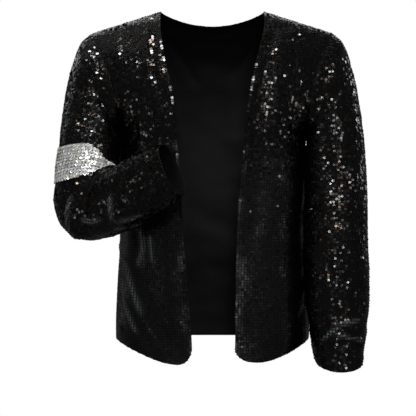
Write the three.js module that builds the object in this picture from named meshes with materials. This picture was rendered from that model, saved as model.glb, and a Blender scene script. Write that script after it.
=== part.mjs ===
// An open-fronted evening jacket of sequin cloth, filled out as if worn: the left sleeve hangs
// and the right forearm lies across the chest, with a silver band round the right sleeve.
// Millimetres. +X is the wearer's left, -Y the front and +Z up. The origin is on the centre plane,
// level with the inner ends of the shoulder seams, where the shoulders carry the jacket.
import * as THREE from "three";

const CLOTH = 1.6; // thickness of the backed sequin cloth
const BAND_CLOTH = 1.2; // thickness of the sleeve band
const BAND_CLEARANCE = 0.6; // gap between the band and the sleeve under it
const SEAM = 0.36; // gap between two pieces that are sewn together
const LONGEST_MITRE = 1.5; // how much thicker the cloth may get where a seam turns sharply
const RIGHT_ANGLE = Math.PI / 2;

// The shoulder line falls from the corner of the neck to the sleeve head.
const NECK_HALF_WIDTH = 95;
const SHOULDER_HALF_WIDTH = 222;
const SHOULDER_DROP = 40;
const BACK_NECK_DEPTH = 20;
const ROUNDING = { front: 150, back: 125 }; // height in which the cloth turns over the shoulder

// The armhole is an oval from the shoulder point to the armpit.
const ARMPIT = { x: 172, z: -232 };
const ARMHOLE_BOW = { front: 15, back: 8 }; // how far it curves in towards chest and back

// The body of the jacket in level sections, from below the hem to the neck. The middle is the
// depth at which a section is widest; front and back are measured from it.
const BODY = [
  { z: -650, halfWidth: 177, middle: 12, front: 125, back: 106 },
  { z: -575, halfWidth: 178, middle: 13, front: 127, back: 105 },
  { z: -500, halfWidth: 175, middle: 15, front: 129, back: 96 },
  { z: -430, halfWidth: 171, middle: 15, front: 130, back: 91 },
  { z: -330, halfWidth: 172, middle: 14, front: 131, back: 96 },
  { z: -262, halfWidth: 172, middle: 10, front: 129, back: 106 },
  { z: -232, halfWidth: 172, middle: 6, front: 126, back: 112 },
  { z: -222, halfWidth: 178, middle: 6, front: 126, back: 113 },
  { z: -203, halfWidth: 192, middle: 6, front: 125, back: 114 },
  { z: -171, halfWidth: 213, middle: 6, front: 124, back: 114 },
  { z: -137, halfWidth: 230, middle: 6, front: 121, back: 112 },
  { z: -90, halfWidth: 248, middle: 6, front: 113, back: 106 },
  { z: -42, halfWidth: 262, middle: 6, front: 103, back: 97 },
  { z: 10, halfWidth: 274, middle: 6, front: 92, back: 86 },
];
const BOXINESS = 0.06; // how much fuller than an ellipse a section is at its corners

// The front edges, from the hem to the neck: how far each lies from the centre.
const FRONT_EDGE = [
  { z: -640, right: 36, left: 39 },
  { z: -581, right: 38, left: 40 },
  { z: -495, right: 45, left: 41 },
  { z: -408, right: 52, left: 43 },
  { z: -330, right: 57, left: 48 },
  { z: -192, right: 67, left: 60 },
  { z: -144, right: 74, left: 68 },
  { z: -94, right: 86, left: 79 },
  { z: -37, right: 94, left: 93 },
  { z: 0, right: 95, left: 95 },
];
// How the hems of the fronts run from their rounded corners to the side seams.
const FRONT_HEM = [
  { out: 0, right: -615, left: -614 },
  { out: 4, right: -626.5, left: -623 },
  { out: 12, right: -636.5, left: -630.5 },
  { out: 26, right: -641, left: -636 },
  { out: 58, right: -636, left: -636 },
  { out: 100, right: -620.5, left: -622.5 },
  { out: 142, right: -602.5, left: -602.5 },
];
const SIDE_HEM_Z = -602.5;
const BACK_HEM_Z = -608.5; // at its middle
const ARMPIT_ROW_Z = -272; // height of the row of the grid that ends at the armpit
const SAG_POWER = 6; // how late that row rises to the armpit

// Sleeve rings, from the armhole to the cuff. Each has an outer and an inner point in the front
// view, the depth at which it lies, half its thickness across them, and how far its front dips.
const LEFT_SLEEVE = [
  { outer: [222, -40], inner: [172, -232], y: 6, half: 79, dip: 0 },
  { outer: [240, -57.5], inner: [175, -239], y: 5, half: 76, dip: 0 },
  { outer: [250, -82], inner: [175.5, -246], y: 2, half: 72, dip: 0 },
  { outer: [259, -115], inner: [175, -253], y: -3, half: 68, dip: 0 },
  { outer: [266, -152], inner: [173.5, -258], y: -9, half: 65, dip: 0 },
  { outer: [272, -195], inner: [172, -273], y: -17, half: 61.5, dip: 0 },
  { outer: [276.5, -240], inner: [170, -298], y: -26, half: 58.5, dip: 0 },
  { outer: [279, -300], inner: [168.5, -332], y: -36, half: 56, dip: 0 },
  { outer: [280, -355], inner: [167, -372], y: -42, half: 55, dip: 0 },
  { outer: [281, -420], inner: [166, -424], y: -46, half: 54, dip: 0 },
  { outer: [282.5, -480], inner: [166, -478], y: -50, half: 53, dip: 1 },
  { outer: [281.5, -536], inner: [168.5, -532], y: -54, half: 51, dip: 4 },
  { outer: [277.5, -577], inner: [175.5, -569], y: -56, half: 48.5, dip: 10 },
  { outer: [274.5, -607], inner: [179, -602], y: -58, half: 47, dip: 17 },
  { outer: [270.5, -635], inner: [184.5, -633], y: -60, half: 46, dip: 24 },
];
const RIGHT_SLEEVE = [
  { outer: [222, -40], inner: [172, -232], y: 6, half: 79, dip: 0 },
  { outer: [242, -57.5], inner: [175.5, -239], y: 4, half: 76, dip: 0 },
  { outer: [253.5, -85], inner: [176, -246], y: -1, half: 72, dip: 0 },
  { outer: [262.5, -121], inner: [175.5, -252], y: -10, half: 68, dip: 0 },
  { outer: [269, -160], inner: [173, -258], y: -22, half: 65, dip: 0 },
  { outer: [274, -205], inner: [171, -265], y: -33, half: 61, dip: 0 },
  { outer: [278, -250], inner: [170, -273], y: -46, half: 58, dip: 0 },
  { outer: [280, -292], inner: [169.5, -280], y: -57, half: 55, dip: 0 },
  { outer: [280, -330], inner: [169.5, -285], y: -67, half: 54, dip: 0 },
  { outer: [279.5, -364], inner: [169.5, -288.5], y: -76, half: 53, dip: 0 },
  { outer: [265, -397], inner: [169, -291], y: -86, half: 52, dip: 0 },
  { outer: [236, -417], inner: [168, -292], y: -99, half: 50, dip: 0 },
  { outer: [197, -413.5], inner: [166, -291.5], y: -115, half: 48, dip: 0 },
  { outer: [163, -405], inner: [161, -288.5], y: -131, half: 46, dip: 0 },
  { outer: [136, -394], inner: [152, -283], y: -145, half: 44, dip: 0 },
  { outer: [110, -380], inner: [138, -275], y: -156, half: 42.5, dip: 0 },
  { outer: [88, -367], inner: [120, -266], y: -165, half: 41, dip: 0 },
  { outer: [69, -354], inner: [103, -259], y: -172, half: 40, dip: 0 },
  { outer: [53, -339], inner: [88, -254], y: -178, half: 39, dip: 0 },
];
const HEAD_REACH = 3.5; // rings over which the armhole's own shape fades out
const LEAN_START = 7; // rings over which a sleeve's sections take up its lean to the front

// The sleeve band's edges, as ring numbers of the right sleeve by the angle round it.
const BAND_EDGES = [
  { angle: 0, top: 6.13, bottom: 7.63 },
  { angle: 40, top: 6.45, bottom: 8.22 },
  { angle: 75, top: 6.4, bottom: 8.84 },
  { angle: 100, top: 6.55, bottom: 9.35 },
  { angle: 120, top: 7.25, bottom: 10 },
  { angle: 150, top: 9.3, bottom: 10.9 },
  { angle: 180, top: 9.9, bottom: 10.9 },
  { angle: 220, top: 8.2, bottom: 9.8 },
  { angle: 270, top: 6.6, bottom: 8.2 },
  { angle: 320, top: 5.95, bottom: 7.5 },
  { angle: 360, top: 6.13, bottom: 7.63 },
];

// Folds: a ridge, or a trough where its height is negative, along a line across a piece. A line
// runs between two places, each given as a share of the piece's columns and of its rows.
const FOLDS = {
  front_right: [
    { from: [0.93, 0.42], to: [0.5, 0.02], height: 6, width: 16 },
    { from: [0.8, 0.55], to: [0.3, 0.05], height: -5, width: 18 },
    { from: [0.35, 0.8], to: [0.3, 0.4], height: 4, width: 24 },
  ],
  front_left: [
    { from: [0.5, 0.75], to: [0.55, 0.03], height: 4, width: 24 },
    { from: [0.85, 0.5], to: [0.72, 0.03], height: -5, width: 22 },
    { from: [0.25, 0.85], to: [0.25, 0.2], height: -4, width: 22 },
  ],
  back: [
    { from: [0.22, 0.7], to: [0.3, 0.02], height: 6, width: 26 },
    { from: [0.4, 0.75], to: [0.42, 0.02], height: -5, width: 26 },
    { from: [0.62, 0.72], to: [0.58, 0.02], height: 5, width: 24 },
    { from: [0.8, 0.7], to: [0.74, 0.02], height: -5, width: 26 },
  ],
  sleeve_left: [
    { from: [0.02, 0.2], to: [0.16, 0.45], height: 4, width: 18 },
    { from: [0.32, 0.48], to: [0.06, 0.6], height: -5, width: 17 },
    { from: [0.42, 0.66], to: [0.08, 0.74], height: 4, width: 15 },
    { from: [0.42, 0.84], to: [0.04, 0.88], height: -5, width: 13 },
    { from: [0.55, 0.7], to: [0.95, 0.8], height: -5, width: 16 },
    { from: [0.6, 0.42], to: [0.92, 0.56], height: 5, width: 18 },
  ],
  sleeve_right: [
    { from: [0.14, 0.24], to: [0.4, 0.33], height: 5, width: 16 },
    { from: [0.04, 0.57], to: [0.34, 0.57], height: 4, width: 13 },
    { from: [0.02, 0.65], to: [0.4, 0.64], height: -4, width: 13 },
    { from: [0.04, 0.76], to: [0.4, 0.78], height: 4, width: 13 },
    { from: [0.62, 0.5], to: [0.96, 0.6], height: -5, width: 16 },
  ],
};

// Grid cells along the parts of each piece's outline.
const SHOULDER_CELLS = 14;
const HALF_ARMHOLE_CELLS = 12;
const HALF_NECK_CELLS = 4;
const SEAM_ROWS = 12; // below the armpit
const EDGE_CROWDING = 1.4; // how strongly the cells of a front crowd towards its front edge
const LEFT_SLEEVE_ROWS = 36;
const RIGHT_SLEEVE_ROWS = 42;
const BAND_CELLS = { round: 72, across: 6 };

const mix = (a, b, share) => a + (b - a) * share;
const clamp01 = (value) => Math.min(1, Math.max(0, value));
const smooth = (value) => clamp01(value) ** 2 * (3 - 2 * clamp01(value));

// A cubic through values at rising knots, with each slope taken from the two neighbours.
function through(knots, values, at) {
  const last = knots.length - 1;
  let k = 0;
  while (k < last - 1 && at > knots[k + 1]) k += 1;
  const slope = (i) => {
    const before = Math.max(0, i - 1);
    const after = Math.min(last, i + 1);
    return (values[after] - values[before]) / (knots[after] - knots[before]);
  };
  const length = knots[k + 1] - knots[k];
  const t = clamp01((at - knots[k]) / length);
  const start = t * (1 - t) * (1 - t) * length * slope(k);
  const end = t * t * (1 - t) * length * slope(k + 1);
  return mix(values[k], values[k + 1], t * t * (3 - 2 * t)) + start - end;
}

// One column of a table as a function of another, whose values rise.
function tableCurve(table, by, column) {
  const knots = table.map((row) => row[by]);
  const values = table.map((row) => row[column]);
  return (at) => through(knots, values, at);
}

const halfWidthAt = tableCurve(BODY, "z", "halfWidth");
const middleAt = tableCurve(BODY, "z", "middle");
const depthAt = { front: tableCurve(BODY, "z", "front"), back: tableCurve(BODY, "z", "back") };

// The height of the shoulder line at a distance from the centre.
function shoulderHeight(x) {
  const along = (Math.abs(x) - NECK_HALF_WIDTH) / (SHOULDER_HALF_WIDTH - NECK_HALF_WIDTH);
  return -SHOULDER_DROP * Math.max(0, along);
}

const fullness = (angle) => 1 + BOXINESS * Math.sin(2 * angle) ** 2;
const widthAt = (angle, z) => halfWidthAt(z) * Math.sin(angle) * fullness(angle);

// The angle round a section, from its front or back middle, at which the body is x wide.
function angleAt(x, z) {
  let low = 0;
  let high = RIGHT_ANGLE;
  for (let pass = 0; pass < 40; pass += 1) {
    const middle = (low + high) / 2;
    if (widthAt(middle, z) < Math.abs(x)) low = middle;
    else high = middle;
  }
  return (low + high) / 2;
}

// A point of the jacket's body on the +X side. The section is a fuller ellipse, whose depth
// shrinks as a quarter circle does where it nears the shoulder line.
function bodyPoint(angle, z, face) {
  const x = widthAt(angle, z);
  const below = clamp01((shoulderHeight(x) - z) / ROUNDING[face]);
  const turned = Math.sqrt(1 - (1 - below) ** 2);
  const reach = Math.cos(angle) * fullness(angle) * depthAt[face](z) * turned;
  return new THREE.Vector3(x, middleAt(z) + (face === "front" ? -reach : reach), z);
}

// The armhole at an angle round it: 0 at the shoulder point, a right angle at the front and two
// at the armpit.
function armhole(turn) {
  const face = Math.sin(turn) >= 0 ? "front" : "back";
  const rise = (1 + Math.cos(turn)) / 2;
  const bow = ARMHOLE_BOW[face] * Math.sin(Math.PI * rise);
  const x = mix(ARMPIT.x, SHOULDER_HALF_WIDTH, rise) - bow;
  const z = mix(ARMPIT.z, -SHOULDER_DROP, rise);
  const angle = rise < 1e-9 ? RIGHT_ANGLE : angleAt(x, z);
  return { angle, z, point: bodyPoint(angle, z, face) };
}

// The side of a panel, from the hem up the side seam to the armpit and on round the armhole.
const PANEL_ROWS = SEAM_ROWS + HALF_ARMHOLE_CELLS;
function sideOutline(row, face) {
  if (row <= SEAM_ROWS) {
    return { angle: RIGHT_ANGLE, z: mix(SIDE_HEM_Z, ARMPIT.z, row / SEAM_ROWS) };
  }
  const turn = (Math.PI * (PANEL_ROWS - row)) / HALF_ARMHOLE_CELLS;
  return armhole(face === "front" ? turn : 2 * Math.PI - turn);
}

// A place on a panel, blended from its four outlines, all of them as an angle and a height. The
// share runs from the inner edge to the side. The row that ends at the armpit hangs below it.
function panelPoint({ row, share, inner, hemZ, top, topInner, face }) {
  const side = sideOutline(row, face);
  const sag = (ARMPIT.z - ARMPIT_ROW_Z) * (share ** SAG_POWER - share);
  let z = mix(inner.z, side.z, share);
  let angle = mix(inner.angle, side.angle, share);
  if (row <= SEAM_ROWS) {
    const up = row / SEAM_ROWS;
    z = mix(hemZ, mix(ARMPIT_ROW_Z, ARMPIT.z, share) + sag, up);
  } else {
    const up = (row - SEAM_ROWS) / HALF_ARMHOLE_CELLS;
    const tip = sideOutline(PANEL_ROWS, face);
    z += sag * (1 - up) ** 2 + (top.z - mix(topInner.z, tip.z, share)) * smooth(up);
    angle += (top.angle - mix(topInner.angle, tip.angle, share)) * smooth(up);
  }
  return bodyPoint(angle, z, face);
}

// The height at which a row meets the inner edge. It slows as a sine where the cloth turns over.
function innerHeight(row, bottom, top) {
  if (row <= SEAM_ROWS) return mix(bottom, ARMPIT_ROW_Z, row / SEAM_ROWS);
  return mix(ARMPIT_ROW_Z, top, Math.sin((RIGHT_ANGLE * (row - SEAM_ROWS)) / HALF_ARMHOLE_CELLS));
}

// The shoulder seam's places. The cells crowd towards the neck, as they do at the front edge.
const crowded = (cell) => Math.max(0, cell / SHOULDER_CELLS) ** EDGE_CROWDING;
function onShoulder(cell) {
  const x = mix(NECK_HALF_WIDTH, SHOULDER_HALF_WIDTH, crowded(cell));
  return { angle: angleAt(x, shoulderHeight(x)), z: shoulderHeight(x) };
}

// A front on the +X side: cell 0 at the front edge, row 0 at the hem.
function frontPoint(edgeAt, hemAt, cell, row) {
  const share = crowded(cell);
  const edge = (z) => ({ angle: angleAt(edgeAt(z), z), z });
  const corner = edge(hemAt(0));
  const hemX = widthAt(mix(corner.angle, RIGHT_ANGLE, share), hemAt(0));
  const reach = halfWidthAt(hemAt(0)) - edgeAt(hemAt(0));
  const out = (FRONT_HEM.at(-1).out * (hemX - edgeAt(hemAt(0)))) / reach;
  return panelPoint({
    row,
    share,
    inner: edge(innerHeight(row, hemAt(0), 0)),
    hemZ: hemAt(out),
    top: onShoulder(cell),
    topInner: onShoulder(0),
    face: "front",
  });
}

// The +X half of the back: cell 0 at its middle, row 0 at the hem.
function backPoint(cell, row) {
  const share = cell / (HALF_NECK_CELLS + SHOULDER_CELLS);
  const neck = cell / HALF_NECK_CELLS;
  const neckZ = -BACK_NECK_DEPTH * (1 - neck ** 2);
  const onNeck = { angle: angleAt(NECK_HALF_WIDTH * neck, neckZ), z: neckZ };
  return panelPoint({
    row,
    share,
    inner: { angle: 0, z: innerHeight(row, BACK_HEM_Z, -BACK_NECK_DEPTH) },
    hemZ: mix(SIDE_HEM_Z, BACK_HEM_Z, Math.cos(RIGHT_ANGLE * share)),
    top: neck < 1 ? onNeck : onShoulder(cell - HALF_NECK_CELLS),
    topInner: { angle: 0, z: -BACK_NECK_DEPTH },
    face: "back",
  });
}

// A sleeve on the +X side as a function of the angle round it and the ring number down it.
function makeSleeve(table) {
  const numbers = table.map((row, number) => number);
  const column = (pick) => {
    const values = table.map(pick);
    return (ring) => through(numbers, values, ring);
  };
  const outerX = column((row) => row.outer[0]);
  const outerZ = column((row) => row.outer[1]);
  const innerX = column((row) => row.inner[0]);
  const innerZ = column((row) => row.inner[1]);
  const depth = column((row) => row.y);
  const half = column((row) => row.half);
  const dip = column((row) => row.dip);
  const centre = (ring) => new THREE.Vector3(
    (outerX(ring) + innerX(ring)) / 2,
    depth(ring),
    (outerZ(ring) + innerZ(ring)) / 2,
  );
  const oval = (turn, ring) => {
    const before = Math.max(0, ring - 0.5);
    const after = Math.min(table.length - 1, ring + 0.5);
    const along = centre(after).sub(centre(before));
    along.y *= smooth(ring / LEAN_START);
    const x = (outerX(ring) - innerX(ring)) / 2;
    const z = (outerZ(ring) - innerZ(ring)) / 2;
    const across = new THREE.Vector3(x, 0, z);
    const forward = along.cross(across).setLength(half(ring));
    const full = fullness(turn);
    const point = centre(ring).addScaledVector(across, Math.cos(turn) * full);
    point.addScaledVector(forward, Math.sin(turn) * full);
    point.z -= dip(ring) * Math.sin(turn);
    return point;
  };
  return (turn, ring) => {
    const own = armhole(turn).point.sub(oval(turn, 0));
    return oval(turn, ring).addScaledVector(own, (1 - clamp01(ring / HEAD_REACH)) ** 2);
  };
}

// How far the folds of a piece lift a place of it, given as shares of its columns and rows.
// A closed piece's columns run round it. The folds die out at the seams.
function foldHeight(folds, u, v, size, closed) {
  let height = 0;
  for (const fold of folds) {
    const shifts = closed ? [-1, 0, 1] : [0];
    for (const shift of shifts) {
      const ax = (u + shift - fold.from[0]) * size.width;
      const ay = (v - fold.from[1]) * size.length;
      const bx = (fold.to[0] - fold.from[0]) * size.width;
      const by = (fold.to[1] - fold.from[1]) * size.length;
      const along = clamp01((ax * bx + ay * by) / (bx * bx + by * by));
      const distance = Math.hypot(ax - along * bx, ay - along * by);
      const ends = smooth(Math.min(along, 1 - along) / 0.25 + 0.25);
      height += fold.height * ends * Math.exp(-((distance / fold.width) ** 2));
    }
  }
  return height;
}

// A grid of points with the outward direction at each. A mirrored grid is built on +X and
// carried over to -X.
function makeGrid({ columns, rows, closed, mirrored, pointAt, liftAt }) {
  const side = mirrored ? -1 : 1;
  const count = closed ? columns : columns + 1;
  const bare = [];
  for (let r = 0; r <= rows; r += 1) {
    const line = [];
    for (let c = 0; c < count; c += 1) {
      const point = pointAt(c, r);
      point.x *= side;
      line.push(point);
    }
    bare.push(line);
  }
  const grid = { columns, rows, count, closed, side, points: bare, seams: [] };
  const normals = gridNormals(grid);
  grid.points = bare.map((line, r) => line.map((point, c) => (
    point.clone().addScaledVector(normals[r][c], liftAt(c / columns, r / rows))
  )));
  grid.normals = gridNormals(grid);
  return grid;
}

const wrap = (grid, c) => (grid.closed ? (c + grid.columns) % grid.columns : c);

function gridNormals(grid) {
  const { points, rows, count, closed, side } = grid;
  return points.map((line, r) => line.map((point, c) => {
    const left = closed ? wrap(grid, c - 1) : Math.max(0, c - 1);
    const right = closed ? wrap(grid, c + 1) : Math.min(count - 1, c + 1);
    const round = line[right].clone().sub(line[left]);
    const low = points[Math.max(0, r - 1)][c];
    const along = points[Math.min(rows, r + 1)][c].clone().sub(low);
    return round.cross(along).multiplyScalar(side).normalize();
  }));
}

// The border points of a grid that are sewn to another piece.
function borderSeam(grid, border) {
  const places = [];
  if (border === "first" || border === "last") {
    const c = border === "first" ? 0 : grid.count - 1;
    for (let r = 0; r <= grid.rows; r += 1) places.push({ c, r, side: 1 });
  } else {
    const r = border === "bottom" ? 0 : grid.rows;
    for (let c = 0; c < grid.count; c += 1) places.push({ c, r, side: 0 });
  }
  grid.seams.push({ border, places });
}

// Turns the outward directions of sewn points to the middle between the body's and the sleeve's,
// or of the two body pieces, so that the edges that meet there face each other.
function mitreSeams(grids) {
  const meetings = [];
  for (const grid of grids) {
    const seen = new Set();
    for (const seam of grid.seams) {
      for (const { c, r } of seam.places) {
        const key = `${c} ${r}`;
        if (seen.has(key)) continue;
        seen.add(key);
        const point = grid.points[r][c];
        let meeting = meetings.find((other) => other.point.distanceTo(point) < 0.05);
        if (!meeting) {
          meeting = { point, body: new THREE.Vector3(), sleeve: new THREE.Vector3(), users: [] };
          meetings.push(meeting);
        }
        (grid.closed ? meeting.sleeve : meeting.body).add(grid.normals[r][c]);
        meeting.users.push({ grid, c, r });
      }
    }
  }
  for (const grid of grids) grid.facing = grid.normals.map((line) => line.map((n) => n.clone()));
  for (const { body, sleeve, users } of meetings) {
    const middle = body.normalize().add(sleeve.normalize()).normalize();
    if (users.length > 1) {
      for (const { grid, c, r } of users) grid.facing[r][c] = middle.clone();
    }
  }
}

// Draws each sewn border back along the piece's own surface, to leave the seam's gap.
function openSeams(grid) {
  const moves = [];
  for (const { border, places } of grid.seams) {
    places.forEach(({ c, r }, index) => {
      const before = places[Math.max(0, index - 1)];
      const after = places[Math.min(places.length - 1, index + 1)];
      const first = grid.closed ? places[(index + places.length - 1) % places.length] : before;
      const next = grid.closed ? places[(index + 1) % places.length] : after;
      const run = grid.points[next.r][next.c].clone().sub(grid.points[first.r][first.c]);
      const inward = grid.normals[r][c].clone().cross(run).normalize();
      const insideC = border === "first" ? c + 1 : border === "last" ? c - 1 : c;
      const insideR = border === "bottom" ? r + 1 : border === "top" ? r - 1 : r;
      const inside = grid.points[insideR][insideC].clone().sub(grid.points[r][c]);
      if (inside.dot(inward) < 0) inward.negate();
      const square = Math.max(1 / LONGEST_MITRE, grid.facing[r][c].dot(grid.normals[r][c]));
      moves.push({ c, r, move: inward.multiplyScalar(SEAM / 2 / square) });
    });
  }
  for (const { c, r, move } of moves) grid.points[r][c].add(move);
}

// A closed wall of cloth, centred on a grid of points.
function wall(grid, thickness) {
  const { points, facing, normals, rows, columns, count, closed, side } = grid;
  const positions = [];
  for (const half of [thickness / 2, -thickness / 2]) {
    points.forEach((line, r) => line.forEach((point, c) => {
      const square = Math.max(1 / LONGEST_MITRE, facing[r][c].dot(normals[r][c]));
      const moved = point.clone().addScaledVector(facing[r][c], half / square);
      positions.push(moved.x, moved.y, moved.z);
    }));
  }
  const inner = points.length * count;
  const at = (c, r, layer) => layer * inner + r * count + wrap(grid, c);
  const faces = [];
  const quad = (a, b, c, d) => {
    const corners = side > 0 ? [a, b, c, d] : [a, d, c, b];
    faces.push(corners[0], corners[1], corners[2], corners[0], corners[2], corners[3]);
  };
  for (let r = 0; r < rows; r += 1) {
    for (let c = 0; c < columns; c += 1) {
      quad(at(c, r, 0), at(c + 1, r, 0), at(c + 1, r + 1, 0), at(c, r + 1, 0));
      quad(at(c, r, 1), at(c, r + 1, 1), at(c + 1, r + 1, 1), at(c + 1, r, 1));
    }
  }
  for (let c = 0; c < columns; c += 1) {
    quad(at(c, 0, 0), at(c, 0, 1), at(c + 1, 0, 1), at(c + 1, 0, 0));
    quad(at(c, rows, 0), at(c + 1, rows, 0), at(c + 1, rows, 1), at(c, rows, 1));
  }
  if (!closed) {
    for (let r = 0; r < rows; r += 1) {
      quad(at(0, r, 0), at(0, r + 1, 0), at(0, r + 1, 1), at(0, r, 1));
      quad(at(columns, r, 0), at(columns, r, 1), at(columns, r + 1, 1), at(columns, r + 1, 0));
    }
  }
  const geometry = new THREE.BufferGeometry();
  geometry.setAttribute("position", new THREE.Float32BufferAttribute(positions, 3));
  geometry.setIndex(faces);
  return geometry;
}

// The fronts, seen from the hem's corner at the front edge.
function makeFront(name) {
  const side = name === "front_right" ? "right" : "left";
  const edgeAt = tableCurve(FRONT_EDGE, "z", side);
  const hemAt = tableCurve(FRONT_HEM, "out", side);
  const size = { width: 190, length: 600 };
  const grid = makeGrid({
    columns: SHOULDER_CELLS,
    rows: PANEL_ROWS,
    closed: false,
    mirrored: side === "right",
    pointAt: (c, r) => frontPoint(edgeAt, hemAt, c, r),
    liftAt: (u, v) => {
      const sewn = smooth((1 - u) / 0.15) * smooth((1 - v) / 0.15);
      return foldHeight(FOLDS[name], u, v, size, false) * sewn;
    },
  });
  borderSeam(grid, "last");
  borderSeam(grid, "top");
  return grid;
}

// The back, whose columns run from the left side to the right.
function makeBack() {
  const half = HALF_NECK_CELLS + SHOULDER_CELLS;
  const size = { width: 420, length: 600 };
  const grid = makeGrid({
    columns: half * 2,
    rows: PANEL_ROWS,
    closed: false,
    mirrored: false,
    pointAt: (c, r) => {
      const point = backPoint(Math.abs(half - c), r);
      if (c > half) point.x = -point.x;
      return point;
    },
    liftAt: (u, v) => {
      const sewn = smooth(u / 0.08) * smooth((1 - u) / 0.08) * smooth((1 - v) / 0.15);
      return foldHeight(FOLDS.back, u, v, size, false) * sewn;
    },
  });
  borderSeam(grid, "first");
  borderSeam(grid, "last");
  borderSeam(grid, "top");
  return grid;
}

const sleeves = { left: makeSleeve(LEFT_SLEEVE), right: makeSleeve(RIGHT_SLEEVE) };

function sleeveLift(name, u, v) {
  const size = { width: 350, length: name === "sleeve_right" ? 560 : 600 };
  return foldHeight(FOLDS[name], u, v, size, true) * smooth(v / 0.12);
}

function makeSleeveGrid(name) {
  const right = name === "sleeve_right";
  const rings = (right ? RIGHT_SLEEVE : LEFT_SLEEVE).length - 1;
  const rows = right ? RIGHT_SLEEVE_ROWS : LEFT_SLEEVE_ROWS;
  const surface = right ? sleeves.right : sleeves.left;
  const columns = HALF_ARMHOLE_CELLS * 2;
  const grid = makeGrid({
    columns,
    rows,
    closed: true,
    mirrored: right,
    pointAt: (c, r) => surface((2 * Math.PI * c) / columns, (rings * r) / rows),
    liftAt: (u, v) => sleeveLift(name, u, v),
  });
  borderSeam(grid, "bottom");
  return grid;
}

// The band is a strip of the right sleeve's own surface, moved out of the sleeve's cloth.
function makeBand() {
  const rings = RIGHT_SLEEVE.length - 1;
  const topAt = tableCurve(BAND_EDGES, "angle", "top");
  const bottomAt = tableCurve(BAND_EDGES, "angle", "bottom");
  const lift = (CLOTH + BAND_CLOTH) / 2 + BAND_CLEARANCE;
  const placeAt = (c, r) => {
    const angle = (360 * c) / BAND_CELLS.round;
    const ring = mix(topAt(angle), bottomAt(angle), r / BAND_CELLS.across);
    return { turn: THREE.MathUtils.degToRad(angle), ring };
  };
  const sleeveNormal = (turn, ring) => {
    const step = 0.02;
    const at = sleeves.right;
    const round = at(turn + step, ring).sub(at(turn - step, ring));
    const along = at(turn, ring + step).sub(at(turn, ring - step));
    return round.cross(along).normalize();
  };
  return makeGrid({
    columns: BAND_CELLS.round,
    rows: BAND_CELLS.across,
    closed: true,
    mirrored: true,
    pointAt: (c, r) => {
      const { turn, ring } = placeAt(c, r);
      const fold = sleeveLift("sleeve_right", turn / (2 * Math.PI), ring / rings);
      const out = sleeveNormal(turn, ring).multiplyScalar(lift + fold);
      return sleeves.right(turn, ring).add(out);
    },
    liftAt: () => 0,
  });
}

const sequinCloth = () => new THREE.MeshStandardMaterial({
  color: 0x0b0b0d,
  roughness: 0.35,
  metalness: 0.3,
});
const silverCloth = () => new THREE.MeshStandardMaterial({
  color: 0xb9bcc0,
  roughness: 0.3,
  metalness: 0.7,
});

const pieces = {
  front_right: makeFront("front_right"),
  front_left: makeFront("front_left"),
  back: makeBack(),
  sleeve_right: makeSleeveGrid("sleeve_right"),
  sleeve_left: makeSleeveGrid("sleeve_left"),
};
mitreSeams(Object.values(pieces));
const band = makeBand();
band.facing = band.normals;

const model = new THREE.Group();
model.name = "sequin_top";
for (const [name, grid] of Object.entries(pieces)) {
  openSeams(grid);
  const mesh = new THREE.Mesh(wall(grid, CLOTH), sequinCloth());
  mesh.name = name;
  model.add(mesh);
}
const bandMesh = new THREE.Mesh(wall(band, BAND_CLOTH), silverCloth());
bandMesh.name = "sleeve_band";
model.add(bandMesh);

export default model;
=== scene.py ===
"""An open-fronted black sequin jacket with a silver sleeve band, dressed over its CAD solids.

Every cloth piece is a thin shell on a surface worked out from the cut: level body sections, an
armhole, and rings down each sleeve. Its sequins are small cupped discs laid in rows over it.
"""

from __future__ import annotations

import logging
from dataclasses import dataclass, replace
from enum import Enum
from typing import Any, Sequence

import bpy
import numpy as np
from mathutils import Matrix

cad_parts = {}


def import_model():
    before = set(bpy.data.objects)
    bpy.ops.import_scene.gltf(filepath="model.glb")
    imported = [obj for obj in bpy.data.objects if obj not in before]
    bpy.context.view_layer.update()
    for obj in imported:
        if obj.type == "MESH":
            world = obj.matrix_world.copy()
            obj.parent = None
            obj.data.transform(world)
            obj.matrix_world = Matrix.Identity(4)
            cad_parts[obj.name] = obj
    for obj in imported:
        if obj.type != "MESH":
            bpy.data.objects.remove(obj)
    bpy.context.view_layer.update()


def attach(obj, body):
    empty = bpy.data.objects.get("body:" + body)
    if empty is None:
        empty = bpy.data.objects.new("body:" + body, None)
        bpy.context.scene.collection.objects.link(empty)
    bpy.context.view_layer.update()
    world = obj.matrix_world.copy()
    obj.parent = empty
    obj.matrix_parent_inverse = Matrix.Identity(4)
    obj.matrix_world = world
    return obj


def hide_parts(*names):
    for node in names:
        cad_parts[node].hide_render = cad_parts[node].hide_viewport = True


LOG = logging.getLogger("sequin_jacket")
MM = 0.001
RIGHT_ANGLE = np.pi / 2
Array = np.ndarray
Pair = tuple[Array, Array]
Size = tuple[float, float]
Triple = tuple[float, float, float]


class Face(Enum):
    """The face of the body that a panel lies on."""

    FRONT = -1
    BACK = 1


class Side(Enum):
    """The side of the garment, as the sign of x."""

    RIGHT = -1
    LEFT = 1


# Helpers


def clamp01(value: Array) -> Array:
    """Return value limited to 0 and 1."""
    return np.clip(value, 0.0, 1.0)


def smooth(value: Array) -> Array:
    """Return a step that eases from 0 to 1: three squares less two cubes."""
    step = clamp01(value)
    return step * step * (3.0 - 2.0 * step)


def mix(a: Any, b: Any, share: Any) -> Any:
    """Return a plus the share of the way to b."""
    return a + (b - a) * share

def unit(vectors: Array) -> Array:
    """Return vectors brought to a length of one."""
    return vectors / np.linalg.norm(vectors, axis=-1, keepdims=True)


def square_to(vectors: Array, directions: Array) -> Array:
    """Return the unit parts of vectors that are square to unit directions."""
    return unit(vectors - directions * np.sum(vectors * directions, axis=-1, keepdims=True))


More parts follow.
